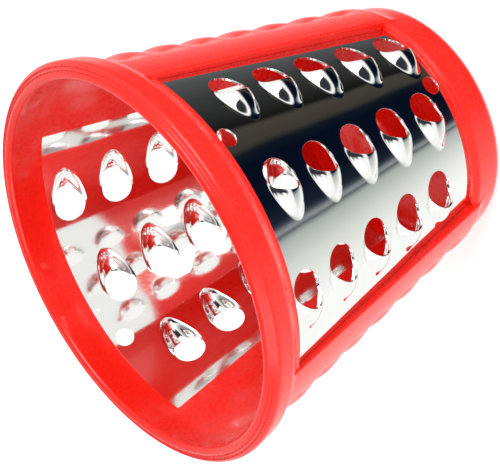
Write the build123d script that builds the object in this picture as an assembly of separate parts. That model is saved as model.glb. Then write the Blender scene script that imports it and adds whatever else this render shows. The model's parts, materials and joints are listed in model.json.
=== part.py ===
from build123d import *
import os
from math import atan, cos, degrees, pi, radians, sin, sqrt

os.makedirs("parts", exist_ok=True)

# A tapered grating drum, the insert of a rotary cheese grater. It stands on its closed drive end
# with its open mouth up. Z is the drum's own axis, the front grating panel faces -Y and the rear
# one +Y, and the two plastic ribs lie at +X and -X. Depths are measured down from the mouth.

# ---- driving dimensions, mm ----
HEIGHT = 82.0            # mouth face to the base of the drive end
MOUTH_RADIUS = 45.0
BAND_HEIGHT = 5.2        # the cylindrical outer band of the mouth ring
BAND_DRAFT = 0.8
LIP_RADIUS = 41.1        # inside of the mouth
LIP_RISE = 0.9           # the inner lip stands proud of the band
LIP_WIDTH = 2.2
LIP_GROOVE = 0.15        # the shallow groove between the lip and the band
BAND_EDGE = 1.0          # rounding of the band's outer edge
COLLAR_LAP = 0.6         # the collar's thickness over the steel, where the window starts
COLLAR_WAIST = (43.0, 6.0)       # radius and depth that the collar's hollow passes through
SKIN_RADIUS = 43.2       # outside of the steel, carried up to the mouth
SKIN_TAPER = 0.212       # loss of radius for each mm of depth
SHEET = 0.5
PANEL_TOP = 8.0
PANEL_FOOT = 72.8
PANEL_ANGLE = 107.8
WINDOW_TOP = 8.6         # depths between which the plastic leaves the steel bare
WINDOW_FOOT = 71.7
WINDOW_ANGLE = 97.5
RIB_RADIUS = 44.2        # crest of the ribs, carried up to the mouth
RIB_TAPER = 0.194
FLUTE_FIRST = 11.4       # depth of the first flute across a rib
FLUTE_PITCH = 9.35
FLUTE_COUNT = 7
FLUTE_ANGLE = 56.0
FLUTE_DEPTH = 0.9
FLUTE_LAND = 2.6         # crest left between two flutes
RIB_FOOT_STEP = 0.6      # the ribs sink by this at their foot, under the back ring's crest
END_RADIUS = 28.0        # crest of the back ring
END_DEPTH = 79.3
END_ROUND = 2.2
END_LAP = 0.7            # the back ring's thickness over the steel, where the window ends
END_LIFT = 1.7           # the back ring's crest above the steel
END_EASE = 1.0           # the depth in which it rises to that crest
WALL = 2.0
FLOOR_ROUND = 1.5        # between the end wall and the inside of the drum
FOOT_WIDTH = 1.6         # the flat ring that the drum stands on
RECESS_DRAFT = 0.6
BASE_RECESS = 1.2
HUB_RADIUS = 8.5
HUB_HEIGHT = 15.0
HUB_FOOT = 0.4           # the hub stops this far above the table
HUB_ROUND = 1.5
SOCKET_FLATS = 11.0      # across the flats of the drive socket
SOCKET_DEPTH = 11.0
SOCKET_SIDES = 6

# ---- grating scoops, mm and degrees ----
SCOOP_LENGTH = 12.4      # round the drum: open hole first, then the raised dome
SCOOP_WIDTH = 8.0        # along the drum
SCOOP_HEIGHT = 3.0
SCOOP_MOUTH = 6.2        # from the hole's end to the cutting lip
SCOOP_PITCH = 11.65
SCOOPS_IN_ROW = 5
ROW_ENDS = (43.0, 11.3, -20.6)   # where the holes of each row end, from the panel's middle
ROW_TOP = 20.6                   # depth of the first scoop in the first row
ROW_SHIFT = 3.9                  # each row starts this much nearer the mouth
PILOT_RADIUS = 2.2
PILOTS = ((10.9, 21.4), (69.2, 11.7))   # depth and angle of the small round holes

CORE_MARGIN = 4.0        # how far the domes' inner trim runs past the panels
SPAN = 400.0


def skin(depth):
    """Outer radius of the steel at a depth below the mouth."""
    return SKIN_RADIUS - SKIN_TAPER * depth


def rib(depth):
    """Crest radius of the ribs at a depth below the mouth."""
    return RIB_RADIUS - RIB_TAPER * depth


def at(radius, depth):
    """A point of a turned section: radius and depth become X and Z."""
    return (radius, 0, HEIGHT - depth)


def turned(edges, middle=0.0, angle=360.0):
    """A closed section in the XZ plane turned about Z, spread evenly about its middle angle."""
    solid = revolve(make_face(edges), Axis.Z, revolution_arc=angle)
    return Rot(0, 0, middle - angle / 2) * solid


def polygon(points):
    """Straight edges through the points, closed."""
    return Polyline(*points, close=True)


def cone_blank(inner, outer, top, foot, middle, angle):
    """A sector of a tapered shell. inner and outer are offsets from the steel's outside."""
    section = polygon([
        at(skin(top) + inner, top), at(skin(top) + outer, top),
        at(skin(foot) + outer, foot), at(skin(foot) + inner, foot)])
    return turned(section, middle, angle)


def panel_blank(middle):
    """One grating panel before it is punched."""
    return cone_blank(-SHEET, 0, PANEL_TOP, PANEL_FOOT, middle, PANEL_ANGLE)


# ---- grating panels ----
def on_skin(depth, angle):
    """A frame on the steel: X runs round the drum, Y up it and Z straight out of the sheet."""
    tilt = degrees(atan(SKIN_TAPER))
    radius = skin(depth)
    place = Pos(radius * cos(radians(angle)), radius * sin(radians(angle)), HEIGHT - depth)
    return place * Rot(0, 0, angle + 90) * Rot(90 + tilt, 0, 0)


def spheroid(length, width, height):
    """A long round body along X, sunk below Z = 0 so that it stands out by height and width."""
    radius = (height * height + width * width / 4) / (2 * height)
    half = length * radius / sqrt(radius ** 2 - (radius - height) ** 2)
    upper = Ellipse(half, radius) & Pos(0, radius, 0) * Rectangle(4 * half, 2 * radius)
    body = revolve(upper, Axis.X, revolution_arc=360)
    return Pos(0, 0, height - radius) * body


def scoop(depth, end_angle, middle):
    """The hole to punch and the dome to raise for one scoop, whose hole ends at end_angle."""
    lip_angle = middle + end_angle - degrees(SCOOP_MOUTH / skin(depth))
    place = on_skin(depth, lip_angle)
    dome_length = SCOOP_LENGTH - SCOOP_MOUTH
    behind = Pos(-SPAN / 2, 0, 0) * Box(SPAN, SPAN, SPAN)
    outside = spheroid(dome_length, SCOOP_WIDTH, SCOOP_HEIGHT) & behind
    inside = spheroid(dome_length - SHEET, SCOOP_WIDTH - 2 * SHEET, SCOOP_HEIGHT - SHEET)
    half = SCOOP_WIDTH / 2 - SHEET
    round_end = Pos(SCOOP_MOUTH - half, 0, 0) * Cylinder(half, 4 * SHEET)
    throat = Pos((SCOOP_MOUTH - half) / 2, 0, 0) * Box(SCOOP_MOUTH - half, 2 * half, 4 * SHEET)
    hole = (inside & behind) + round_end + throat
    return place * hole, place * outside, place * inside


def panel(middle):
    """A punched panel: sheet, holes, raised domes and small round pilot holes."""
    core_top, core_foot = PANEL_TOP - CORE_MARGIN, PANEL_FOOT + CORE_MARGIN
    core = turned(polygon([
        (0, 0, HEIGHT - core_top), at(skin(core_top) - SHEET / 2, core_top),
        at(skin(core_foot) - SHEET / 2, core_foot), (0, 0, HEIGHT - core_foot)]))
    sheet = panel_blank(middle)
    domes = []
    for row, end_angle in enumerate(ROW_ENDS):
        for place in range(SCOOPS_IN_ROW):
            depth = ROW_TOP - ROW_SHIFT * row + SCOOP_PITCH * place
            hole, outside, inside = scoop(depth, end_angle, middle)
            sheet -= hole
            domes.append(outside - inside - core)
    for depth, angle in PILOTS:
        sheet -= on_skin(depth, middle + angle) * Cylinder(PILOT_RADIUS, 8 * SHEET)
    for dome in domes:
        sheet += dome
    return sheet


# ---- plastic frame ----
def eased_edge(radius, depth, ease):
    """A rounded outer edge of the mouth, from its flat face at depth to the side of the band."""
    side = ease * (1 - sqrt(0.5))
    return ThreePointArc(
        at(radius - ease, depth), at(radius - side, depth + side), at(radius, depth + ease))


def mouth_ring():
    """The collar round the mouth, with its rounded inner lip and the seat for both panels."""
    lip_start = LIP_WIDTH / 2 - LIP_RISE
    lip_end = LIP_RADIUS + LIP_WIDTH
    face_edge = MOUTH_RADIUS - BAND_EDGE
    band_foot = MOUTH_RADIUS - BAND_DRAFT
    collar_edge = skin(WINDOW_TOP) + COLLAR_LAP
    section = [
        Line(at(LIP_RADIUS, PANEL_TOP), at(LIP_RADIUS, lip_start)),
        ThreePointArc(
            at(LIP_RADIUS, lip_start), at(LIP_RADIUS + LIP_WIDTH / 2, -LIP_RISE),
            at(lip_end, lip_start)),
        Line(at(lip_end, lip_start), at(lip_end + LIP_GROOVE, lip_start)),
        Line(at(lip_end + LIP_GROOVE, lip_start), at(lip_end + LIP_GROOVE, 0)),
        Line(at(lip_end + LIP_GROOVE, 0), at(face_edge, 0)),
        eased_edge(MOUTH_RADIUS, 0, BAND_EDGE),
        Line(at(MOUTH_RADIUS, BAND_EDGE), at(band_foot, BAND_HEIGHT)),
        ThreePointArc(
            at(band_foot, BAND_HEIGHT), at(*COLLAR_WAIST), at(collar_edge, WINDOW_TOP)),
        Line(at(collar_edge, WINDOW_TOP), at(skin(WINDOW_TOP) - SHEET, WINDOW_TOP)),
        Line(at(skin(WINDOW_TOP) - SHEET, WINDOW_TOP), at(LIP_RADIUS, PANEL_TOP))]
    ring = turned(section)
    for middle in (-90, 90):
        ring -= panel_blank(middle)
    return ring


def flute(depth, middle):
    """The round-bottomed channel that is cut across a rib."""
    width = FLUTE_PITCH - FLUTE_LAND
    radius = (width * width / 4 + FLUTE_DEPTH * FLUTE_DEPTH) / (2 * FLUTE_DEPTH)
    centre = rib(depth) - FLUTE_DEPTH + radius
    tool = Pos(*at(centre, depth)) * Rot(90, 0, 0) * Circle(radius)
    return Rot(0, 0, middle - FLUTE_ANGLE / 2) * revolve(tool, Axis.Z, revolution_arc=FLUTE_ANGLE)


def side_rib(middle):
    """One of the two ribs that join the mouth ring to the drive end and hold the panels' edges."""
    angle = 180 - WINDOW_ANGLE
    section = polygon([
        at(skin(WINDOW_TOP) - SHEET, WINDOW_TOP), at(rib(WINDOW_TOP), WINDOW_TOP),
        at(rib(WINDOW_FOOT) - RIB_FOOT_STEP, WINDOW_FOOT), at(skin(WINDOW_FOOT) - SHEET, WINDOW_FOOT)])
    solid = turned(section, middle, angle)
    for step in range(FLUTE_COUNT):
        solid -= flute(FLUTE_FIRST + FLUTE_PITCH * step, middle)
    for panel_middle in (-90, 90):
        solid -= panel_blank(panel_middle)
    return solid


def drive_end():
    """The closed small end: a rounded ring, and a wall with a seat for the hub."""
    crest = WINDOW_FOOT + END_EASE
    lap, lift = skin(WINDOW_FOOT) + END_LAP, skin(crest) + END_LIFT
    between = ((lap + lift) / 2 + END_EASE / 4, (WINDOW_FOOT + crest) / 2 - END_EASE / 8)
    wall_top = HEIGHT - BASE_RECESS - WALL
    floor_edge = skin(wall_top) - SHEET - FLOOR_ROUND
    wall_start = wall_top - FLOOR_ROUND
    bend = FLOOR_ROUND * sqrt(0.5)
    foot_outer = END_RADIUS - END_ROUND
    foot_inner = foot_outer - FOOT_WIDTH
    end_fall = (HEIGHT - END_DEPTH) * sqrt(0.5)
    section = [
        Line(at(skin(WINDOW_FOOT) - SHEET, WINDOW_FOOT), at(lap, WINDOW_FOOT)),
        ThreePointArc(at(lap, WINDOW_FOOT), at(*between), at(lift, crest)),
        Line(at(lift, crest), at(END_RADIUS, END_DEPTH)),
        ThreePointArc(
            at(END_RADIUS, END_DEPTH), at(foot_outer + END_ROUND * sqrt(0.5), END_DEPTH + end_fall),
            at(foot_outer, HEIGHT)),
        Line(at(foot_outer, HEIGHT), at(foot_inner, HEIGHT)),
        Line(at(foot_inner, HEIGHT), at(foot_inner - RECESS_DRAFT, HEIGHT - BASE_RECESS)),
        Line(
            at(foot_inner - RECESS_DRAFT, HEIGHT - BASE_RECESS),
            at(HUB_RADIUS, HEIGHT - BASE_RECESS)),
        Line(at(HUB_RADIUS, HEIGHT - BASE_RECESS), at(HUB_RADIUS, wall_top)),
        Line(at(HUB_RADIUS, wall_top), at(floor_edge, wall_top)),
        ThreePointArc(
            at(floor_edge, wall_top), at(floor_edge + bend, wall_start + bend),
            at(skin(wall_start) - SHEET, wall_start)),
        Line(at(skin(wall_start) - SHEET, wall_start), at(skin(WINDOW_FOOT) - SHEET, WINDOW_FOOT))]
    ring = turned(section)
    for middle in (-90, 90):
        ring -= panel_blank(middle)
    return ring


def drive_hub():
    """The hub with its blind six-sided socket, open at the base."""
    body = Pos(0, 0, HUB_FOOT) * Cylinder(
        HUB_RADIUS, HUB_HEIGHT - HUB_FOOT, align=(Align.CENTER, Align.CENTER, Align.MIN))
    body = fillet(body.edges().group_by(Axis.Z)[-1], HUB_ROUND)
    corner = SOCKET_FLATS / 2 / cos(pi / SOCKET_SIDES)
    return body - extrude(RegularPolygon(corner, SOCKET_SIDES), SOCKET_DEPTH + HUB_FOOT)


parts = {
    "mouth_ring": mouth_ring(),
    "rib_right": side_rib(0),
    "rib_left": side_rib(180),
    "drive_end": drive_end(),
    "drive_hub": drive_hub(),
    "front_panel": panel(-90),
    "rear_panel": panel(90),
}

for name, solid in parts.items():
    solid.label = name
    export_step(solid, f"parts/{name}.step")
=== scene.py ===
"""Looks for the grating drum of a rotary cheese grater: a red moulding and two polished, punched panels."""

import json
from math import atan, cos, hypot, pi, radians, sin, sqrt

import bpy
import numpy as np
from mathutils import Matrix, Vector
from mathutils.geometry import delaunay_2d_cdt

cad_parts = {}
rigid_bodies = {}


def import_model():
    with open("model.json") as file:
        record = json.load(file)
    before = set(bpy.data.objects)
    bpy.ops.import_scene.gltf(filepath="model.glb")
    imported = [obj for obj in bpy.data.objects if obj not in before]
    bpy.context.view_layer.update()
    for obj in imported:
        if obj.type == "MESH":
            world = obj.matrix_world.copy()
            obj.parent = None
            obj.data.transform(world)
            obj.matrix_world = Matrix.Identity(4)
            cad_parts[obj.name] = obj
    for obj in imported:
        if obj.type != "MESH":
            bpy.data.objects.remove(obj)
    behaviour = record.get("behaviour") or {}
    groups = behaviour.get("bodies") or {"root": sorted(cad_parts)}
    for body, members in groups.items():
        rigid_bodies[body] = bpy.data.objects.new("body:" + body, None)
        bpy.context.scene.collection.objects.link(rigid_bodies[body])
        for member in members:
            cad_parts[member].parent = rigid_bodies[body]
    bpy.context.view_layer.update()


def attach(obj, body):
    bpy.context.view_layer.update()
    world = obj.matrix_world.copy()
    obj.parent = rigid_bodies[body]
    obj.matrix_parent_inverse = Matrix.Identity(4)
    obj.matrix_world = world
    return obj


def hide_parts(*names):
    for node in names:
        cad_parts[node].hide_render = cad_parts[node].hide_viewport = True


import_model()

# ---- the drum, in mm; depths are measured down from the mouth ----
MM = 0.001
HEIGHT = 82.0
MOUTH_RADIUS, BAND_HEIGHT, BAND_DRAFT = 45.0, 5.2, 0.8
LIP_RADIUS = 41.1
SKIN_RADIUS, SKIN_TAPER, SHEET = 43.2, 0.212, 0.5
PANEL_TOP, PANEL_FOOT, PANEL_ANGLE = 8.0, 72.8, 107.8
WINDOW_TOP, WINDOW_FOOT, WINDOW_ANGLE = 8.6, 71.7, 97.5
RIB_RADIUS, RIB_TAPER, RIB_EDGE = 44.2, 0.194, 0.5
FLUTE_CREST, FLUTE_PITCH, FLUTE_COUNT, FLUTE_DEPTH = 6.7, 9.35, 7, 1.3
FLUTE_FULL, FLUTE_END = 20.0, 28.5          # degrees each side of a rib's middle
END_RADIUS, END_DEPTH, END_ROUND = 28.0, 79.3, 2.2
COLLAR_LAP, END_LAP, END_SWELL = 0.6, 0.7, 1.0   # plastic over the steel at the window's two ends
WALL, BASE_RECESS, FOOT_WIDTH, FLOOR_ROUND = 2.0, 1.2, 1.6, 1.5
WALL_TOP = HEIGHT - BASE_RECESS - WALL
HUB_RADIUS, HUB_HEIGHT, HUB_FOOT = 8.5, 15.0, 0.4
SOCKET_FLATS, SOCKET_DEPTH = 11.0, 11.0
CLEARANCE = 0.03
EDGE_SPAN = 1.6                              # degrees of closely spaced columns along a rib's edge
WINDOW_ROWS = 104                            # rows of points down a window
NOWHERE = -9.0                               # a radius that never wins against another

# ---- the grating scoops, in mm and degrees ----
SCOOP_MOUTH, DOME_LENGTH, SCOOP_WIDTH = 6.2, 6.2, 8.0    # ahead of and behind the scoop's own zero
DOME_RISE = 3.1                              # of the whole dome, before the hole is punched
HOLE_MIDDLE, HOLE_HALF = 2.5, 3.75           # the punched hole's middle, and half its width along the drum
SCOOP_PITCH, SCOOPS_IN_ROW, ROWS = 11.65, 5, 3
FIRST_ROW, ROW_STEP = 43.0, -31.8           # degrees from the panel's middle to where a row's holes end
ROW_TOP, ROW_SHIFT = 20.6, 3.9
PILOT_RADIUS, PILOTS = 2.2, ((10.9, 21.4), (69.2, 11.7))

SLANT = cos(atan(SKIN_TAPER))               # share of the steel's slope that is depth


def skin(depth):
    """Outer radius of the steel."""
    return SKIN_RADIUS - SKIN_TAPER * depth


def rib(depth):
    """Crest radius of the ribs."""
    return RIB_RADIUS - RIB_TAPER * depth


def smoothstep(low, high, value):
    t = np.clip((value - low) / (high - low), 0, 1)
    return t * t * (3 - 2 * t)


def smooth_max(a, b, soften):
    """The larger of two heights, with the crease between them rounded."""
    h = np.clip(0.5 + 0.5 * (a - b) / soften, 0, 1)
    return b + (a - b) * h + soften * h * (1 - h)


def new_mesh(name, points, faces):
    """A mesh object at the origin from points in mm."""
    mesh = bpy.data.meshes.new(name)
    mesh.from_pydata([tuple(float(c) * MM for c in p) for p in points], [], faces)
    mesh.validate()
    mesh.update()
    obj = bpy.data.objects.new(name, mesh)
    bpy.context.scene.collection.objects.link(obj)
    return obj


# ======================================================================
# Geometry Nodes helpers
# ======================================================================
class Value:
    """A number in a node tree; arithmetic on it adds Math nodes."""

    def __init__(self, tree, socket):
        self.tree, self.socket = tree, socket

    def math(self, operation, *others):
        node = self.tree.nodes.new("ShaderNodeMath")
        node.operation = operation
        for slot, item in zip(node.inputs, (self, *others)):
            if isinstance(item, Value):
                self.tree.links.new(item.socket, slot)
            else:
                slot.default_value = float(item)
        return Value(self.tree, node.outputs[0])

    def __add__(self, other):
        return self.math("ADD", other)

    def __sub__(self, other):
        return self.math("SUBTRACT", other)

    def __mul__(self, other):
        return self.math("MULTIPLY", other)

    def __truediv__(self, other):
        return self.math("DIVIDE", other)

    def eased(self, low, high):
        """0 below low, 1 above high, and an S curve between."""
        node = self.tree.nodes.new("ShaderNodeMapRange")
        node.interpolation_type = "SMOOTHSTEP"
        self.tree.links.new(self.socket, node.inputs["Value"])
        for name, item in (("From Min", low), ("From Max", high)):
            if isinstance(item, Value):
                self.tree.links.new(item.socket, node.inputs[name])
            else:
                node.inputs[name].default_value = float(item)
        return Value(self.tree, node.outputs["Result"])


class ShapeTree:
    """A Geometry Nodes tree with one geometry in and out, and named inputs."""

    def __init__(self, name, inputs):
        self.tree = bpy.data.node_groups.new(name, "GeometryNodeTree")
        self.tree.is_modifier = True
        face = self.tree.interface
        face.new_socket("Geometry", in_out="INPUT", socket_type="NodeSocketGeometry")
        self.ids = {n: face.new_socket(n, in_out="INPUT", socket_type=kind).identifier
                    for n, kind in inputs.items()}
        face.new_socket("Geometry", in_out="OUTPUT", socket_type="NodeSocketGeometry")
        self.given = self.tree.nodes.new("NodeGroupInput")
        self.result = self.tree.nodes.new("NodeGroupOutput")

    def number(self, name):
        return Value(self.tree, self.given.outputs[name])

    def node(self, kind, links=None, **settings):
        """Adds a node; links maps its input names to sockets, values or plain numbers."""
        made = self.tree.nodes.new(kind)
        for key, setting in settings.items():
            setattr(made, key, setting)
        for name, item in (links or {}).items():
            slot = made.inputs[name]
            if isinstance(item, Value):
                self.tree.links.new(item.socket, slot)
            elif isinstance(item, bpy.types.NodeSocket):
                self.tree.links.new(item, slot)
            else:
                slot.default_value = item
        return made

    def position(self):
        """The x, y and z of each point."""
        split = self.node("ShaderNodeSeparateXYZ",
                          {"Vector": self.node("GeometryNodeInputPosition").outputs[0]})
        return [Value(self.tree, s) for s in split.outputs]

    def point(self, x, y, z):
        return self.node("ShaderNodeCombineXYZ", {"X": x, "Y": y, "Z": z}).outputs[0]

    def placed(self, geometry, point):
        return self.node("GeometryNodeSetPosition",
                         {"Geometry": geometry, "Position": point}).outputs[0]

    def finish(self, geometry, material):
        """Ends the tree in Realize Instances and Set Material."""
        whole = self.node("GeometryNodeRealizeInstances", {"Geometry": geometry}).outputs[0]
        whole = self.node("GeometryNodeSetMaterial",
                          {"Geometry": whole, "Material": self.given.outputs[material]}).outputs[0]
        self.tree.links.new(whole, self.result.inputs[0])

    def applied(self, obj, values):
        """Runs the tree on an object and leaves a plain mesh in it."""
        modifier = obj.modifiers.new(self.tree.name, "NODES")
        modifier.node_group = self.tree
        for name, item in values.items():
            modifier[self.ids[name]] = item
        evaluated = obj.evaluated_get(bpy.context.evaluated_depsgraph_get())
        mesh = bpy.data.meshes.new_from_object(evaluated)
        obj.modifiers.remove(modifier)
        old, obj.data = obj.data, mesh
        bpy.data.meshes.remove(old)
        return obj


# ======================================================================
# Finishes
# ======================================================================
def material(name):
    """A new node material, with its tree and its shader."""
    made = bpy.data.materials.new(name)
    made.use_nodes = True
    shader = made.node_tree.nodes["Principled BSDF"]
    return made, made.node_tree, shader


def noise(tree, scale, detail=2.0, stretch=(1, 1, 1)):
    """A noise pattern on the object's own coordinates; scale is in cells for each metre."""
    place = tree.nodes.new("ShaderNodeTexCoord")
    mapping = tree.nodes.new("ShaderNodeMapping")
    mapping.inputs["Scale"].default_value = stretch
    texture = tree.nodes.new("ShaderNodeTexNoise")
    texture.inputs["Scale"].default_value = scale
    texture.inputs["Detail"].default_value = detail
    tree.links.new(place.outputs["Object"], mapping.inputs["Vector"])
    tree.links.new(mapping.outputs["Vector"], texture.inputs["Vector"])
    return texture.outputs["Fac"]


def ranged(tree, value, low, high, start=0.3, end=0.7):
    """Carries a pattern's value from start..end to low..high."""
    node = tree.nodes.new("ShaderNodeMapRange")
    for name, item in (("From Min", start), ("From Max", end), ("To Min", low), ("To Max", high)):
        node.inputs[name].default_value = item
    tree.links.new(value, node.inputs["Value"])
    return node.outputs["Result"]


def bumps(tree, layers):
    """Bump nodes one after another; each layer is a pattern and its height in mm."""
    normal = None
    for pattern, height in layers:
        bump = tree.nodes.new("ShaderNodeBump")
        bump.inputs["Distance"].default_value = height * MM
        tree.links.new(pattern, bump.inputs["Height"])
        if normal:
            tree.links.new(normal, bump.inputs["Normal"])
        normal = bump.outputs["Normal"]
    return normal


def red_gloss_plastic():
    """Glossy moulded plastic: a faint orange peel, slow flow marks and a slightly uneven gloss."""
    made, tree, shader = material("glossy red plastic")
    shades = tree.nodes.new("ShaderNodeMix")
    shades.data_type = "RGBA"
    shades.inputs["A"].default_value = (0.84, 0.010, 0.004, 1)
    shades.inputs["B"].default_value = (0.92, 0.016, 0.007, 1)
    tree.links.new(noise(tree, 40, 3), shades.inputs["Factor"])
    tree.links.new(shades.outputs["Result"], shader.inputs["Base Color"])
    tree.links.new(ranged(tree, noise(tree, 900, 4), 0.22, 0.34), shader.inputs["Roughness"])
    shader.inputs["Coat Weight"].default_value = 0.20
    shader.inputs["Coat Roughness"].default_value = 0.05
    shader.inputs["Specular IOR Level"].default_value = 0.35
    normal = bumps(tree, [(noise(tree, 700, 1), 0.004), (noise(tree, 90, 1), 0.05)])
    tree.links.new(normal, shader.inputs["Normal"])
    return made


def polished_steel():
    """Mirror-polished stainless sheet with a slight press waviness and fine polishing lines."""
    made, tree, shader = material("mirror polished steel")
    shader.inputs["Metallic"].default_value = 1.0
    tones = tree.nodes.new("ShaderNodeMix")
    tones.data_type = "RGBA"
    tones.inputs["A"].default_value = (0.86, 0.86, 0.85, 1)
    tones.inputs["B"].default_value = (0.93, 0.93, 0.92, 1)
    tree.links.new(noise(tree, 60, 3), tones.inputs["Factor"])
    tree.links.new(tones.outputs["Result"], shader.inputs["Base Color"])
    lines = noise(tree, 300, 3, (14, 14, 1))
    tree.links.new(ranged(tree, lines, 0.03, 0.09), shader.inputs["Roughness"])
    normal = bumps(tree, [(noise(tree, 45, 1), 0.17), (lines, 0.0006)])
    tree.links.new(normal, shader.inputs["Normal"])
    return made


RED = red_gloss_plastic()
STEEL = polished_steel()


# ======================================================================
# The moulding: mouth ring, two ribs and drive end in one piece
# ======================================================================
def columns():
    """Angles round the drum, close together at the ribs' edges and where the flutes fade."""
    half = WINDOW_ANGLE / 2
    edge = 90 - half
    seat = 90 - PANEL_ANGLE / 2
    quarter = [
        *np.linspace(0, FLUTE_FULL - 2, 8, endpoint=False),
        *np.linspace(FLUTE_FULL - 2, FLUTE_END + 1, 10, endpoint=False),
        *np.linspace(FLUTE_END + 1, seat - 0.05, 4),
        *np.linspace(seat + 0.05, edge - EDGE_SPAN, 3, endpoint=False),
        *(edge - EDGE_SPAN * (1 - t) ** 1.6 for t in np.linspace(0, 1, 9)),
        *np.linspace(edge, 90, 22)[1:]]
    right = [*quarter, *(180 - a for a in quarter[-2::-1])]
    return np.array([*right, *(a + 180 for a in right[1:-1])])


def from_rib(angle):
    """Degrees between an angle and the nearest rib's middle."""
    return np.abs((angle + 90) % 180 - 90)


def mouth_section():
    """(depth, radius) of the mouth: inner wall, lip, two fine grooves and band."""
    inner_round = [(0.2 - 1.09 * sin(t), LIP_RADIUS + 1.2 - 1.2 * cos(t))
                   for t in np.linspace(0, pi / 2, 9)]
    points = [(PANEL_TOP - 0.2, LIP_RADIUS - 0.02), (4.0, LIP_RADIUS), (1.5, LIP_RADIUS), *inner_round]
    for middle, rise in ((43.15, -0.62), (43.95, -0.30)):
        points += [(rise, middle - 0.30), (rise + 0.06, middle - 0.18), (rise + 0.26, middle - 0.04),
                   (rise + 0.26, middle + 0.06), (rise + 0.08, middle + 0.18), (rise + 0.04, middle + 0.28)]
    points += [(0.25 + 0.95 * (1 - cos(t)) - 0.2, MOUTH_RADIUS - 0.6 + 0.6 * sin(t))
               for t in np.linspace(0.3, pi / 2, 7)]
    points += [(depth, MOUTH_RADIUS - BAND_DRAFT * (depth - 1.0) / (BAND_HEIGHT - 1.0))
               for depth in (2.0, 3.0, 4.0, BAND_HEIGHT - 0.5)]
    return points


def outside(angle, depth):
    """Outer radius of the plastic below the mouth band, without the flutes."""
    drop = np.clip((depth - BAND_HEIGHT) / (WINDOW_TOP - BAND_HEIGHT), 0, None)
    low = skin(WINDOW_TOP) + COLLAR_LAP
    high = MOUTH_RADIUS - BAND_DRAFT
    collar = np.where(drop < 1, low + (high - low) * np.clip(1 - drop, 0, 1) ** 1.7,
                      low - 1.5 * (depth - WINDOW_TOP))
    collar = np.where(depth < BAND_HEIGHT, high, collar)
    edge = (90 - WINDOW_ANGLE / 2 - from_rib(angle)) * pi / 180 * rib(depth)
    e = np.clip(edge, 0, RIB_EDGE)
    bar = rib(depth) - RIB_EDGE + np.sqrt(RIB_EDGE ** 2 - (RIB_EDGE - e) ** 2)
    bar = np.where(edge < -0.01, NOWHERE, bar)
    ring = skin(depth) + END_LAP + END_SWELL * smoothstep(WINDOW_FOOT, WINDOW_FOOT + 1.8, depth)
    ring = np.where(depth < WINDOW_FOOT, skin(WINDOW_FOOT) + END_LAP - 1.2 * (WINDOW_FOOT - depth), ring)
    past = np.clip((depth - END_DEPTH) / (HEIGHT - END_DEPTH), 0, 1)
    rounded = END_RADIUS - END_ROUND + END_ROUND * np.sqrt(1 - past ** 2)
    bar = np.where(depth > END_DEPTH, NOWHERE, bar - np.clip(depth - WINDOW_FOOT - 2, 0, None) * 0.5)
    ring = np.where(depth > END_DEPTH, rounded, ring)
    return smooth_max(smooth_max(collar, bar, 0.5), ring, 0.6)


def inside(angle, depth):
    """Inner radius of the plastic: flush with the panels' inside, or clear of them where they are seated."""
    over_panel = 90 - from_rib(angle) < PANEL_ANGLE / 2
    seated = over_panel & (depth > PANEL_TOP - 0.05) & (depth < PANEL_FOOT + 0.05)
    return np.where(seated, skin(depth) + CLEARANCE, skin(depth) - SHEET)


def base_section():
    """(depth, radius) from the foot over the recess and the end wall to the drum's floor."""
    recess = END_RADIUS - END_ROUND - FOOT_WIDTH
    floor_radius = skin(WALL_TOP) - SHEET
    inward = (18.0, 13.0, HUB_RADIUS + 1.0, HUB_RADIUS - 1.0)
    return [(HEIGHT, recess + 0.5), (HEIGHT - 0.15, recess + 0.15), (HEIGHT - 0.5, recess - 0.1),
            (HEIGHT - BASE_RECESS + 0.2, recess - 0.4), (HEIGHT - BASE_RECESS, recess - 0.8),
            *((HEIGHT - BASE_RECESS, r) for r in inward),
            *((WALL_TOP, r) for r in reversed(inward)),
            *((WALL_TOP - FLOOR_ROUND * (1 - cos(t)), floor_radius - FLOOR_ROUND + FLOOR_ROUND * sin(t))
              for t in np.linspace(0, pi / 2, 7))]


def ring_points(turns, depth, radius):
    """Points round the drum at one depth; the radius may change from column to column."""
    angles = np.radians(turns)
    return np.stack([radius * np.cos(angles), radius * np.sin(angles),
                     np.full(len(turns), HEIGHT - depth)], axis=1)


def window_columns(turns):
    """For each column of faces, whether it lies inside a window."""
    following = np.append(turns[1:], turns[0] + 360)
    return from_rib((turns + following) / 2) > 90 - WINDOW_ANGLE / 2


def window_walls(top, foot, inner_top, inner_foot, opened):
    """Faces through the plastic's thickness round the windows, between the outer and the inner rows."""
    m = len(opened)
    faces = []
    for c in range(m):
        d = (c + 1) % m
        if opened[c]:
            faces.append((top * m + c, inner_top * m + c, inner_top * m + d, top * m + d))
            faces.append((foot * m + d, inner_foot * m + d, inner_foot * m + c, foot * m + c))
        if opened[c] != opened[d]:
            for k in range(foot - top):
                o, p = (top + k) * m + d, (top + k + 1) * m + d
                q, r = (inner_top - k) * m + d, (inner_top - k - 1) * m + d
                faces.append((o, p, r, q) if opened[d] else (o, q, r, p))
    return faces


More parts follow.
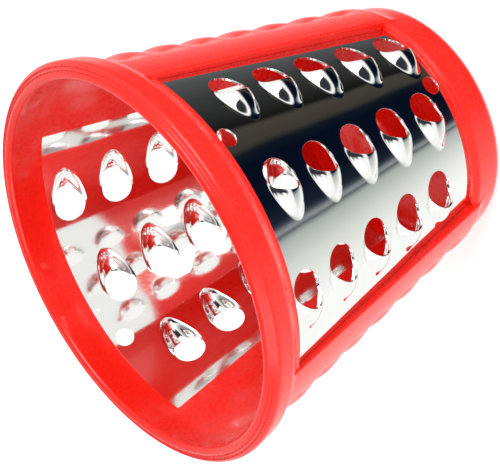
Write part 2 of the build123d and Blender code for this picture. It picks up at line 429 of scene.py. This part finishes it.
def moulding():
    """The plastic frame as one closed skin, with a window for each panel."""
    turns = columns()
    m = len(turns)
    bar_depths = [*np.linspace(BAND_HEIGHT - 0.2, WINDOW_TOP, 9),
                  *np.linspace(WINDOW_TOP, WINDOW_FOOT, WINDOW_ROWS)[1:]]
    end_depths = [*np.linspace(WINDOW_FOOT, WINDOW_FOOT + 2.2, 8)[1:],
                  *np.linspace(WINDOW_FOOT + 2.2, END_DEPTH, 6)[1:],
                  *(END_DEPTH + (HEIGHT - END_DEPTH) * sin(t) for t in np.linspace(0, pi / 2, 10)[1:])]
    inner_depths = [*np.linspace(WALL_TOP - 2.0, PANEL_FOOT + 0.1, 4), PANEL_FOOT,
                    *np.linspace(WINDOW_FOOT, WINDOW_TOP, WINDOW_ROWS), PANEL_TOP, PANEL_TOP - 0.1]
    rings = [(depth, radius, 0) for depth, radius in mouth_section()]
    top = len(rings) + bar_depths.index(WINDOW_TOP)
    foot = len(rings) + len(bar_depths) - 1
    rings += [(depth, outside(turns, np.full(m, depth)), 1) for depth in bar_depths + end_depths]
    rings += [(depth, radius, 0) for depth, radius in base_section()]
    inner_foot = len(rings) + inner_depths.index(WINDOW_FOOT)
    inner_top = len(rings) + inner_depths.index(WINDOW_TOP)
    rings += [(depth, inside(turns, np.full(m, depth)), 0) for depth in inner_depths]
    points = np.concatenate([ring_points(turns, depth, radius) for depth, radius, _ in rings])
    opened = window_columns(turns)
    faces = []
    for i in range(len(rings)):
        j = (i + 1) % len(rings)
        in_window = top <= i < foot or inner_foot <= i < inner_top
        for c in range(m):
            d = (c + 1) % m
            if not (in_window and opened[c]):
                faces.append((i * m + c, j * m + c, j * m + d, i * m + d))
    faces += window_walls(top, foot, inner_top, inner_foot, opened)
    obj = new_mesh("moulding", points, faces)
    mark = obj.data.attributes.new("outer_skin", "FLOAT", "POINT")
    mark.data.foreach_set("value", np.repeat(np.array([ring[2] for ring in rings], np.float32), m))
    return obj


def flute_tree():
    """Presses rounded channels across both ribs."""
    shape = ShapeTree("Fluted Ribs", {
        "Height": "NodeSocketFloat", "First Crest": "NodeSocketFloat", "Pitch": "NodeSocketFloat",
        "Count": "NodeSocketInt", "Channel Depth": "NodeSocketFloat", "Full Angle": "NodeSocketFloat",
        "End Angle": "NodeSocketFloat", "Finish": "NodeSocketMaterial"})
    x, y, z = shape.position()
    depth = shape.number("Height") - z
    turn = y.math("ABSOLUTE").math("ARCTAN2", x.math("ABSOLUTE"))
    fade = turn.eased(shape.number("End Angle"), shape.number("Full Angle"))
    steps = (depth - shape.number("First Crest")) / shape.number("Pitch")
    wave = (steps * (2 * pi)).math("COSINE") * -0.5 + 0.5
    wave = wave.math("POWER", 0.85)
    inside_run = steps.math("GREATER_THAN", 0) * steps.math("LESS_THAN", shape.number("Count"))
    mark = shape.node("GeometryNodeInputNamedAttribute", {"Name": "outer_skin"}, data_type="FLOAT")
    mark = Value(shape.tree, mark.outputs["Attribute"])
    press = wave * fade * inside_run * mark * shape.number("Channel Depth")
    radius = (x * x + y * y).math("SQRT")
    share = (radius - press) / radius
    moved = shape.placed(shape.given.outputs["Geometry"], shape.point(x * share, y * share, z))
    smooth = shape.node("GeometryNodeSetShadeSmooth", {"Geometry": moved}).outputs[0]
    shape.finish(smooth, "Finish")
    return shape


def made_moulding():
    obj = moulding()
    flute_tree().applied(obj, {
        "Height": HEIGHT * MM, "First Crest": FLUTE_CREST * MM, "Pitch": FLUTE_PITCH * MM,
        "Count": FLUTE_COUNT, "Channel Depth": FLUTE_DEPTH * MM, "Full Angle": radians(FLUTE_FULL),
        "End Angle": radians(FLUTE_END), "Finish": RED})
    obj.data.set_sharp_from_angle(angle=radians(50))
    return obj


# ======================================================================
# The drive hub
# ======================================================================
def drive_hub():
    """The hub with a rounded top and a blind six-sided socket whose corners are eased."""
    turns = np.arange(0, 360, 3.0)
    ones = np.ones(len(turns))
    flat = SOCKET_FLATS / 2 / np.cos(np.radians((turns % 60) - 30))
    flat = np.minimum(flat, SOCKET_FLATS / 2 / cos(radians(30)) - 0.25)
    rows = [(SOCKET_DEPTH, flat * s) for s in (0.02, 0.5, 0.96)]
    rows += [(SOCKET_DEPTH - 0.3, flat), (6.0, flat), (HUB_FOOT + 0.7, flat),
             (HUB_FOOT + 0.25, flat + 0.15), (HUB_FOOT, flat + 0.6),
             (HUB_FOOT, (HUB_RADIUS - 0.5) * ones), (HUB_FOOT + 0.12, (HUB_RADIUS - 0.15) * ones),
             (HUB_FOOT + 0.5, HUB_RADIUS * ones)]
    rows += [(z, (HUB_RADIUS - 0.05 * (z - 1) / 12) * ones) for z in (2.0, 5.0, 8.0, 11.0, HUB_HEIGHT - 1.8)]
    rows += [(HUB_HEIGHT - 1.5 + 1.5 * sin(t), (HUB_RADIUS - 1.55 + 1.5 * cos(t)) * ones)
             for t in np.linspace(0.1, pi / 2, 8)]
    rows += [(HUB_HEIGHT, r * ones) for r in (5.0, 3.0)]
    rows += [(HUB_HEIGHT - 0.25, 2.6 * ones), (HUB_HEIGHT - 0.25, 0.1 * ones)]
    m = len(turns)
    points = [(r * cos(radians(a)), r * sin(radians(a)), z)
              for z, radii in rows for r, a in zip(radii, turns)]
    faces = [(i * m + c, i * m + (c + 1) % m, (i + 1) * m + (c + 1) % m, (i + 1) * m + c)
             for i in range(len(rows) - 1) for c in range(m)]
    low, high = len(points), len(points) + 1
    points += [(0, 0, SOCKET_DEPTH), (0, 0, HUB_HEIGHT - 0.25)]
    last = (len(rows) - 1) * m
    faces += [(low, (c + 1) % m, c) for c in range(m)]
    faces += [(high, last + c, last + (c + 1) % m) for c in range(m)]
    obj = new_mesh("hub", points, faces)
    obj.data.materials.append(RED)
    obj.data.shade_smooth()
    obj.data.set_sharp_from_angle(angle=radians(40))
    return obj


# ======================================================================
# The panels
# ======================================================================
SPOKES = 64
RINGS = (0.0, 0.035, 0.09, 0.17, 0.27, 0.38, 0.49, 0.59, 0.68, 0.76, 0.83, 0.89, 0.945, 1.0)
FILLET_START, FILLET_END = 0.91, 1.12


def dome_height(reach):
    """Height of the dome at a share of its outline: round, with a small fillet down to the sheet."""
    sphere = (DOME_RISE ** 2 + (SCOOP_WIDTH / 2) ** 2) / (2 * DOME_RISE)
    k = 1 - ((sphere - DOME_RISE) / sphere) ** 2

    def cap(s):
        return DOME_RISE - sphere + sphere * sqrt(1 - k * s * s)

    if reach <= FILLET_START:
        return cap(reach)
    if reach >= FILLET_END:
        return 0.0
    width = FILLET_END - FILLET_START
    slope = -sphere * k * FILLET_START / sqrt(1 - k * FILLET_START ** 2) * width
    t = (reach - FILLET_START) / width
    return cap(FILLET_START) * (1 - 3 * t * t + 2 * t ** 3) + slope * (t - 2 * t * t + t ** 3)


def outline(turn, reach):
    """The scoop's outline round the middle of its punched hole, grown or shrunk by reach."""
    c, s = cos(turn), sin(turn)
    if c < 0:
        narrow = 1 - 0.10 * (-c) ** 1.5
        return HOLE_MIDDLE + (HOLE_MIDDLE + DOME_LENGTH) * reach * c, SCOOP_WIDTH / 2 * reach * s * narrow
    return HOLE_MIDDLE + (SCOOP_MOUTH - HOLE_MIDDLE + 0.2) * reach * c, SCOOP_WIDTH / 2 * reach * s


def scoop_point(spoke, share):
    """A point of the scoop in mm, from the hole's edge at share 0 to the plain sheet at share 1.

    x runs round the drum towards the hole's end, y up the drum and z out of the sheet.
    """
    turn = 2 * pi * spoke / SPOKES
    x0 = HOLE_MIDDLE + (SCOOP_MOUTH - HOLE_MIDDLE) * cos(turn)
    y0 = HOLE_HALF * sin(turn)
    x1, y1 = outline(turn, FILLET_END)
    x, y = x0 + (x1 - x0) * share, y0 + (y1 - y0) * share
    back = min(x - HOLE_MIDDLE, 0) / (HOLE_MIDDLE + DOME_LENGTH)
    narrow = 1 - 0.10 * min(1, hypot(back, y * 2 / SCOOP_WIDTH)) * (-back) ** 1.5
    front = max(x - HOLE_MIDDLE, 0) / (SCOOP_MOUTH - HOLE_MIDDLE + 0.2)
    reach = hypot(back + front, y * 2 / SCOOP_WIDTH / narrow)
    fade = 1 - float(smoothstep(-1.6, 4.0, x))
    return x, y, dome_height(reach) * fade


def scoop_patch():
    """One scoop: a dome with a round hole punched through its front."""
    points = [scoop_point(spoke, share) for share in RINGS for spoke in range(SPOKES)]
    faces = [(ring + s, ring + SPOKES + s, ring + SPOKES + (s + 1) % SPOKES, ring + (s + 1) % SPOKES)
             for ring in range(0, len(points) - SPOKES, SPOKES) for s in range(SPOKES)]
    return points, faces


def scoop_places():
    """(angle, depth) of each scoop, the angle in radians from the panel's middle."""
    for row in range(ROWS):
        for place in range(SCOOPS_IN_ROW):
            depth = ROW_TOP - ROW_SHIFT * row + SCOOP_PITCH * place
            yield radians(FIRST_ROW + ROW_STEP * row) - SCOOP_MOUTH / skin(depth), depth


def flat_sheet():
    """The sheet between the scoops, unrolled: x is the angle from the panel's middle, y the depth."""
    spread = 36.0          # mm for each radian, so that the triangles come out even
    edge = radians(PANEL_ANGLE / 2)
    loops = [[]]
    for i in range(48):
        loops[0].append((-edge + 2 * edge * i / 48, PANEL_TOP))
    for i in range(40):
        loops[0].append((edge, PANEL_TOP + (PANEL_FOOT - PANEL_TOP) * i / 40))
    loops[0] += [(-a, PANEL_TOP + PANEL_FOOT - d) for a, d in loops[0]]
    for angle, depth in scoop_places():
        loops.append([(angle + x / skin(depth), depth - y * SLANT)
                      for x, y, z in (scoop_point(-s, 1.0) for s in range(SPOKES))])
    for depth, angle in PILOTS:
        loops.append([(radians(angle) + PILOT_RADIUS * cos(t) / skin(depth),
                       depth + PILOT_RADIUS * SLANT * sin(t))
                      for t in np.linspace(0, 2 * pi, 32, endpoint=False)])
    taken = np.array([(a * spread, d) for loop in loops for a, d in loop])
    points = [Vector(p) for p in taken]
    faces, start = [], 0
    for loop in loops:
        faces.append(list(range(start, start + len(loop))))
        start += len(loop)
    step = 1.5             # mm between the plain sheet's points
    depths = np.arange(PANEL_TOP + step * 0.6, PANEL_FOOT - step * 0.4, step * 0.866)
    for row, d in enumerate(depths):
        start_angle = -edge * spread + step * (0.6 + 0.5 * (row % 2))
        for a in np.arange(start_angle, edge * spread - step * 0.4, step):
            if np.min(np.sum((taken - (a, d)) ** 2, axis=1)) > (0.55 * step) ** 2:
                points.append(Vector((a, d)))
    made = delaunay_2d_cdt(points, [], faces, 1, 1e-6)
    triangles = [tuple(reversed(f)) for f, source in zip(made[2], made[5]) if list(source) == [0]]
    used = sorted({v for f in triangles for v in f})
    place = {v: i for i, v in enumerate(used)}
    return ([(made[0][v].x / spread, made[0][v].y, 0) for v in used],
            [tuple(place[v] for v in f) for f in triangles])


def panel_tree():
    """Sets rows of scoops into the unrolled sheet, then rolls it to the drum's taper."""
    shape = ShapeTree("Punched Panel", {
        "Scoop": "NodeSocketObject", "Rows": "NodeSocketInt", "Scoops in a Row": "NodeSocketInt",
        "First Row": "NodeSocketFloat", "Row Step": "NodeSocketFloat", "First Depth": "NodeSocketFloat",
        "Row Shift": "NodeSocketFloat", "Pitch": "NodeSocketFloat", "Mouth Length": "NodeSocketFloat",
        "Skin Radius": "NodeSocketFloat", "Skin Taper": "NodeSocketFloat", "Drum Height": "NodeSocketFloat",
        "Middle": "NodeSocketFloat", "Finish": "NodeSocketMaterial"})
    count = shape.number("Rows") * shape.number("Scoops in a Row")
    places = shape.node("GeometryNodePoints", {"Count": count}).outputs[0]
    index = Value(shape.tree, shape.node("GeometryNodeInputIndex").outputs[0])
    row = (index / shape.number("Scoops in a Row")).math("FLOOR")
    place = index - row * shape.number("Scoops in a Row")
    depth = shape.number("First Depth") - row * shape.number("Row Shift") + place * shape.number("Pitch")

    def radius_at(d):
        return shape.number("Skin Radius") - d * shape.number("Skin Taper")

    turn = shape.number("First Row") + row * shape.number("Row Step")
    turn = turn - shape.number("Mouth Length") / radius_at(depth)
    for name, value in (("scoop_depth", depth), ("scoop_turn", turn)):
        places = shape.node("GeometryNodeStoreNamedAttribute",
                            {"Geometry": places, "Name": name, "Value": value},
                            data_type="FLOAT", domain="POINT").outputs[0]
    pattern = shape.node("GeometryNodeObjectInfo", {"Object": shape.given.outputs["Scoop"]})
    scoops = shape.node("GeometryNodeInstanceOnPoints",
                        {"Points": places, "Instance": pattern.outputs["Geometry"]}).outputs[0]
    scoops = shape.node("GeometryNodeRealizeInstances", {"Geometry": scoops}).outputs[0]
    own_depth, own_turn = (
        Value(shape.tree, shape.node("GeometryNodeInputNamedAttribute", {"Name": name},
                                     data_type="FLOAT").outputs["Attribute"])
        for name in ("scoop_depth", "scoop_turn"))
    x, y, z = shape.position()
    slope = (shape.number("Skin Taper") * shape.number("Skin Taper") + 1.0).math("SQRT")
    scoops = shape.placed(
        scoops, shape.point(own_turn + x / radius_at(own_depth), own_depth - y / slope, z))
    join = shape.node("GeometryNodeJoinGeometry")
    shape.tree.links.new(shape.given.outputs["Geometry"], join.inputs[0])
    shape.tree.links.new(scoops, join.inputs[0])
    whole = shape.node("GeometryNodeMergeByDistance",
                       {"Geometry": join.outputs[0], "Distance": 0.0005}).outputs[0]
    angle, down, rise = shape.position()
    radius = radius_at(down) + rise / slope
    angle = angle + shape.number("Middle")
    height = shape.number("Drum Height") - down - rise * shape.number("Skin Taper") / slope
    whole = shape.placed(whole, shape.point(
        radius * angle.math("COSINE") * MM, radius * angle.math("SINE") * MM, height * MM))
    whole = shape.node("GeometryNodeSetShadeSmooth", {"Geometry": whole}).outputs[0]
    shape.finish(whole, "Finish")
    return shape


def thickened(obj, thickness, ease, finish):
    """Gives the sheet its thickness, eased cut edges and exact normals on the plain skin."""
    mesh = obj.data
    n = len(mesh.vertices)
    points = np.zeros(n * 3)
    mesh.vertices.foreach_get("co", points)
    points = points.reshape(-1, 3) / MM
    normals = np.array([v.vector for v in mesh.vertex_normals])
    radius = np.hypot(points[:, 0], points[:, 1])
    plain = np.abs(radius - skin(HEIGHT - points[:, 2])) < 0.01
    exact = np.stack([points[:, 0] / radius * SLANT, points[:, 1] / radius * SLANT,
                      np.full(n, -SKIN_TAPER * SLANT)], axis=1)
    normals[plain] = exact[plain]
    faces = [tuple(p.vertices) for p in mesh.polygons]
    directed = {(f[i], f[(i + 1) % len(f)]) for f in faces for i in range(len(f))}
    border = [(a, b) for a, b in directed if (b, a) not in directed]
    away = {}
    for a, b in border:
        side = np.cross(points[b] - points[a], normals[a] + normals[b])
        side /= np.linalg.norm(side)
        for v in (a, b):
            away[v] = away.get(v, 0) + side
    rim = {v: i for i, v in enumerate(sorted(away))}
    out = np.array([away[v] / np.linalg.norm(away[v]) for v in sorted(away)])
    at = points[sorted(away)]
    facing = normals[sorted(away)]
    upper = at + ease * out - ease * facing
    lower = at + ease * out - (thickness - ease) * facing
    k = len(rim)
    everything = np.concatenate([points, upper, lower, points - thickness * normals])
    all_normals = np.concatenate([normals, out, out, -normals])
    under = n + 2 * k
    result = list(faces) + [tuple(under + v for v in reversed(f)) for f in faces]
    for a, b in sorted(border):
        ua, ub, la, lb = n + rim[a], n + rim[b], n + k + rim[a], n + k + rim[b]
        result += [(b, a, ua, ub), (ub, ua, la, lb), (lb, la, under + a, under + b)]
    name = obj.name
    bpy.data.objects.remove(obj)
    bpy.data.meshes.remove(mesh)
    solid = new_mesh(name, everything, result)
    solid.data.materials.append(finish)
    solid.data.shade_smooth()
    solid.data.normals_split_custom_set_from_vertices([tuple(v) for v in all_normals])
    return solid


def raw_object(name, points, faces):
    """A mesh object that keeps its points as given, for a tree to read."""
    mesh = bpy.data.meshes.new(name)
    mesh.from_pydata([tuple(map(float, p)) for p in points], [], faces)
    obj = bpy.data.objects.new(name, mesh)
    bpy.context.scene.collection.objects.link(obj)
    return obj


def made_panels():
    pattern = raw_object("scoop_pattern", *scoop_patch())
    tree = panel_tree()
    sheet = flat_sheet()
    made = []
    for name, middle in (("panel_front", -90), ("panel_rear", 90)):
        obj = raw_object(name, *sheet)
        tree.applied(obj, {
            "Scoop": pattern, "Rows": ROWS, "Scoops in a Row": SCOOPS_IN_ROW,
            "First Row": radians(FIRST_ROW), "Row Step": radians(ROW_STEP), "First Depth": ROW_TOP,
            "Row Shift": ROW_SHIFT, "Pitch": SCOOP_PITCH, "Mouth Length": SCOOP_MOUTH,
            "Skin Radius": SKIN_RADIUS, "Skin Taper": SKIN_TAPER, "Drum Height": HEIGHT,
            "Middle": radians(middle), "Finish": STEEL})
        made.append(thickened(obj, SHEET - 0.02, 0.07, STEEL))
    bpy.data.objects.remove(pattern)
    return made


# ======================================================================
# Stage
# ======================================================================
# what the steel mirrors below the horizon: (share of a turn from -X, shade)
STUDIO_BANDS = (
    (0.00, (1.05, 1.08, 1.04)), (0.06, (0.90, 0.93, 0.88)), (0.11, (0.70, 0.74, 0.69)),
    (0.155, (0.45, 0.50, 0.47)), (0.164, (0.28, 0.31, 0.31)), (0.169, (0.06, 0.07, 0.08)),
    (0.176, (0.32, 0.35, 0.36)), (0.188, (0.05, 0.06, 0.08)), (0.197, (0.012, 0.018, 0.032)),
    (0.24, (0.003, 0.006, 0.016)), (0.33, (0.002, 0.005, 0.015)), (0.355, (0.006, 0.010, 0.018)),
    (0.368, (0.050, 0.046, 0.037)), (0.404, (0.062, 0.057, 0.046)), (0.412, (0.006, 0.006, 0.006)),
    (0.428, (0.016, 0.016, 0.015)), (0.45, (0.025, 0.026, 0.026)), (0.50, (0.045, 0.048, 0.048)),
    (0.55, (0.085, 0.092, 0.095)), (0.60, (0.20, 0.22, 0.22)),
    (0.66, (0.9, 0.9, 0.9)), (0.80, (1.05, 1.05, 1.05)), (1.00, (1.05, 1.08, 1.04)))
AMBIENT = (0.58, 0.58, 0.58, 1)


def towards(tree, direction, aim, near, far):
    """1 in one direction, easing to 0 between the cosines near and far."""
    dot = tree.nodes.new("ShaderNodeVectorMath")
    dot.operation = "DOT_PRODUCT"
    tree.links.new(direction, dot.inputs[0])
    dot.inputs[1].default_value = Vector(aim).normalized()
    return Value(tree, dot.outputs["Value"]).eased(far, near)


def blended(tree, amount, base, shade):
    """Lays a shade over a base by an amount."""
    mix = tree.nodes.new("ShaderNodeMix")
    mix.data_type = "RGBA"
    mix.inputs["B"].default_value = (*shade, 1)
    tree.links.new(amount.socket, mix.inputs["Factor"])
    tree.links.new(base, mix.inputs["A"])
    return mix.outputs["Result"]


def banded(tree, turn):
    """The studio bands as a colour ramp round the drum."""
    bands = tree.nodes.new("ShaderNodeValToRGB")
    tree.links.new(turn.socket, bands.inputs[0])
    ramp = bands.color_ramp
    ramp.elements.remove(ramp.elements[-1])
    for place, shade in STUDIO_BANDS:
        element = ramp.elements.new(place) if place > 0 else ramp.elements[0]
        element.color = (*shade, 1)
    return bands.outputs["Color"]


def world():
    """Pale surroundings, with darker bands that only reflections see: they give the steel its look."""
    made = bpy.data.worlds.new("studio")
    bpy.context.scene.world = made
    made.use_nodes = True
    tree = made.node_tree
    background = tree.nodes["Background"]
    direction = tree.nodes.new("ShaderNodeTexCoord").outputs["Generated"]
    split = tree.nodes.new("ShaderNodeSeparateXYZ")
    tree.links.new(direction, split.inputs[0])
    x, y, z = (Value(tree, s) for s in split.outputs)
    bands = banded(tree, y.math("ARCTAN2", x) / (2 * pi) + 0.5)
    sky = blended(tree, z.eased(-0.38, -0.08), bands, (1.05, 1.05, 1.03))
    for aim, near, far, shade in (
            ((0, 0.1, 1), 0.97, 0.80, (0.30, 0.31, 0.30)),
            ((0.05, -0.85, 0.53), 0.96, 0.84, (0.03, 0.034, 0.040)),
            ((-0.30, -0.80, 0.52), 0.995, 0.975, (1.2, 1.2, 1.2))):
        sky = blended(tree, towards(tree, direction, aim, near, far), sky, shade)
    light = tree.nodes.new("ShaderNodeLightPath")
    final = tree.nodes.new("ShaderNodeMix")
    final.data_type = "RGBA"
    final.inputs["A"].default_value = AMBIENT
    tree.links.new(light.outputs["Is Glossy Ray"], final.inputs["Factor"])
    tree.links.new(sky, final.inputs["B"])
    tree.links.new(final.outputs["Result"], background.inputs["Color"])


def floor():
    """A wide pale table top."""
    size = 6.0
    mesh = bpy.data.meshes.new("floor")
    corners = [(-size, -size, 0), (size, -size, 0), (size, size, 0), (-size, size, 0)]
    mesh.from_pydata(corners, [], [(0, 1, 2, 3)])
    obj = bpy.data.objects.new("floor", mesh)
    bpy.context.scene.collection.objects.link(obj)
    made, _, shader = material("pale table")
    shader.inputs["Base Color"].default_value = (0.92, 0.92, 0.92, 1)
    shader.inputs["Roughness"].default_value = 0.9
    shader.inputs["Emission Color"].default_value = (1, 1, 1, 1)
    shader.inputs["Emission Strength"].default_value = 0.45
    mesh.materials.append(made)
    obj.visible_glossy = False


def soft_light(name, place, aim, size, power):
    """A square softbox that looks at a point."""
    lamp = bpy.data.lights.new(name, "AREA")
    lamp.size = size
    lamp.energy = power
    obj = bpy.data.objects.new(name, lamp)
    bpy.context.scene.collection.objects.link(obj)
    obj.location = place
    obj.rotation_euler = (Vector(aim) - Vector(place)).to_track_quat("-Z", "Y").to_euler()


def camera():
    """Looks down at the front panel and into the mouth, rolled so that the drum seems to lie on its side."""
    lens = bpy.data.cameras.new("camera")
    lens.lens, lens.sensor_width = 129.6, 36.0
    lens.clip_start, lens.clip_end = 0.01, 50.0
    obj = bpy.data.objects.new("camera", lens)
    bpy.context.scene.collection.objects.link(obj)
    place = Vector((0.01270, -0.32660, 0.25587))
    back = (place - Vector((-0.00548, -0.00031, 0.05263))).normalized()
    right = Vector((0.89405, -0.19991, -0.40089)).cross(back).normalized()
    up = back.cross(right)
    obj.matrix_world = Matrix((
        (right.x, up.x, back.x, place.x), (right.y, up.y, back.y, place.y),
        (right.z, up.z, back.z, place.z), (0, 0, 0, 1)))
    bpy.context.scene.camera = obj


frame_piece = made_moulding()
hub = drive_hub()
front, rear = made_panels()
for piece, nodes, slot in (
        (frame_piece, ("mouth_ring", "rib_right", "rib_left", "drive_end"), "red_plastic"),
        (hub, ("drive_hub",), "red_plastic"),
        (front, ("front_panel",), "polished_steel"),
        (rear, ("rear_panel",), "polished_steel")):
    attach(piece, "root")
    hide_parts(*nodes)

world()
floor()
soft_light("key", (0.45, -0.55, 0.50), (0, 0, 0.04), 0.5, 4.5)
soft_light("fill", (-0.50, -0.25, 0.45), (0, 0, 0.04), 0.5, 1.6)
camera()
bpy.context.scene.view_settings.view_transform = "Standard"
